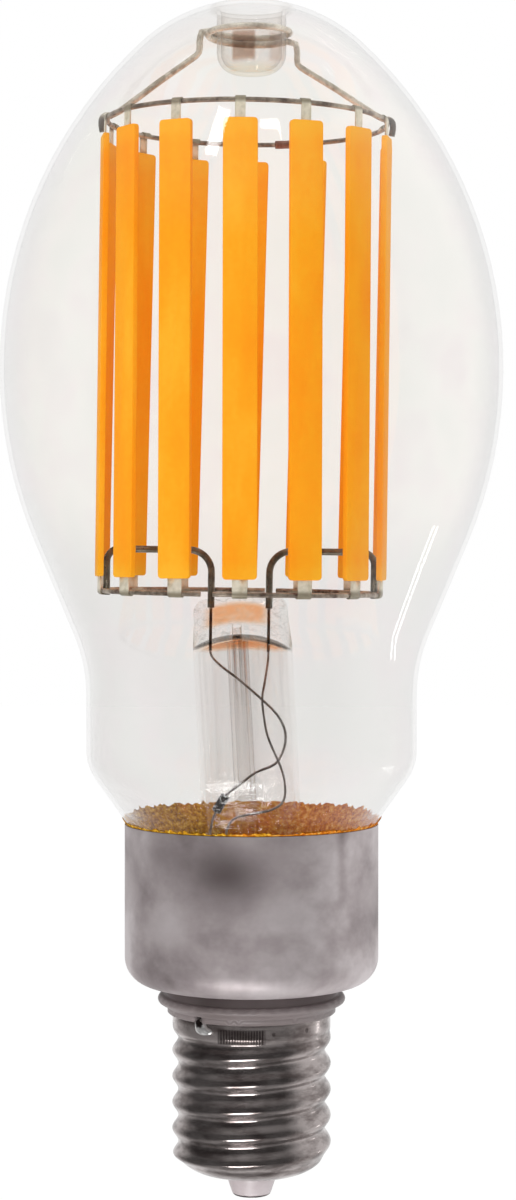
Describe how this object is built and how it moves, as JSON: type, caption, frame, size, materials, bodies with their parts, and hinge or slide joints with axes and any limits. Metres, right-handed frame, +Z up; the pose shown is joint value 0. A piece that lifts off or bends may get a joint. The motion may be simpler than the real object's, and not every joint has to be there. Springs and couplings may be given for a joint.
{
  "type": "high power led bulb",
  "caption": "Large clear LED filament lamp with a cage of upright filament strips, a metal driver can and a large screw base.",
  "frame": {"origin": "middle of the centre contact's face, the lowest point of the lamp", "axes": "+Z up the lamp's axis from the contact to the crown of the glass; -Y is the side that the picture shows"},
  "size_m": [0.1228, 0.1228, 0.2907],
  "materials": {
    "clear_glass": "clear, polished",
    "lead_wire": "dull nickel",
    "seal_wire": "oxidised",
    "black_sleeve": "matt",
    "cage_wire": "drawn wire",
    "joint_metal": "crimped",
    "phosphor": "soft silicone",
    "tab_metal": "satin",
    "cement": "rough, baked",
    "can_metal": "matt grey, cloudy",
    "board": "lacquered",
    "capacitor_sleeve": "shrunk sleeve",
    "ferrite": "matt",
    "film_capacitor": "moulded",
    "chip_plastic": "moulded",
    "resistor_coat": "lacquered",
    "insulator_plastic": "moulded, satin",
    "shell_metal": "nickel plated",
    "contact_metal": "dark, worn",
    "solder": "bright solder",
    "wire_cover": "wire insulation"
  },
  "bodies": {
    "root": {"glass_envelope": "clear_glass", "stem": "clear_glass", "exhaust_tube": "clear_glass", "lead_left": "lead_wire", "lead_right": "lead_wire", "seal_wire_left": "seal_wire", "seal_wire_right": "seal_wire", "inner_wire_left": "lead_wire", "inner_wire_right": "lead_wire", "wire_sleeve": "black_sleeve", "lower_ring_left": "cage_wire", "lower_ring_right": "cage_wire", "upper_ring": "cage_wire", "ring_joint_sleeve": "joint_metal", "top_support_wire": "cage_wire", "filament_01": "phosphor", "filament_02": "phosphor", "filament_03": "phosphor", "filament_04": "phosphor", "filament_05": "phosphor", "filament_06": "phosphor", "filament_07": "phosphor", "filament_08": "phosphor", "filament_09": "phosphor", "filament_10": "phosphor", "filament_11": "phosphor", "filament_12": "phosphor", "filament_13": "phosphor", "filament_14": "phosphor", "lower_tabs": "tab_metal", "upper_tabs": "tab_metal", "bulb_cement": "cement", "driver_can": "can_metal", "circuit_board": "board", "smoothing_capacitor": "capacitor_sleeve", "choke": "ferrite", "input_capacitor": "film_capacitor", "bridge_rectifier": "chip_plastic", "driver_chip": "chip_plastic", "fuse_resistor": "resistor_coat", "base_insulator": "insulator_plastic", "screw_shell": "shell_metal", "contact_plug": "insulator_plastic", "centre_contact": "contact_metal", "side_solder": "solder", "line_wire": "wire_cover", "neutral_wire": "solder"}
  },
  "joints": []
}
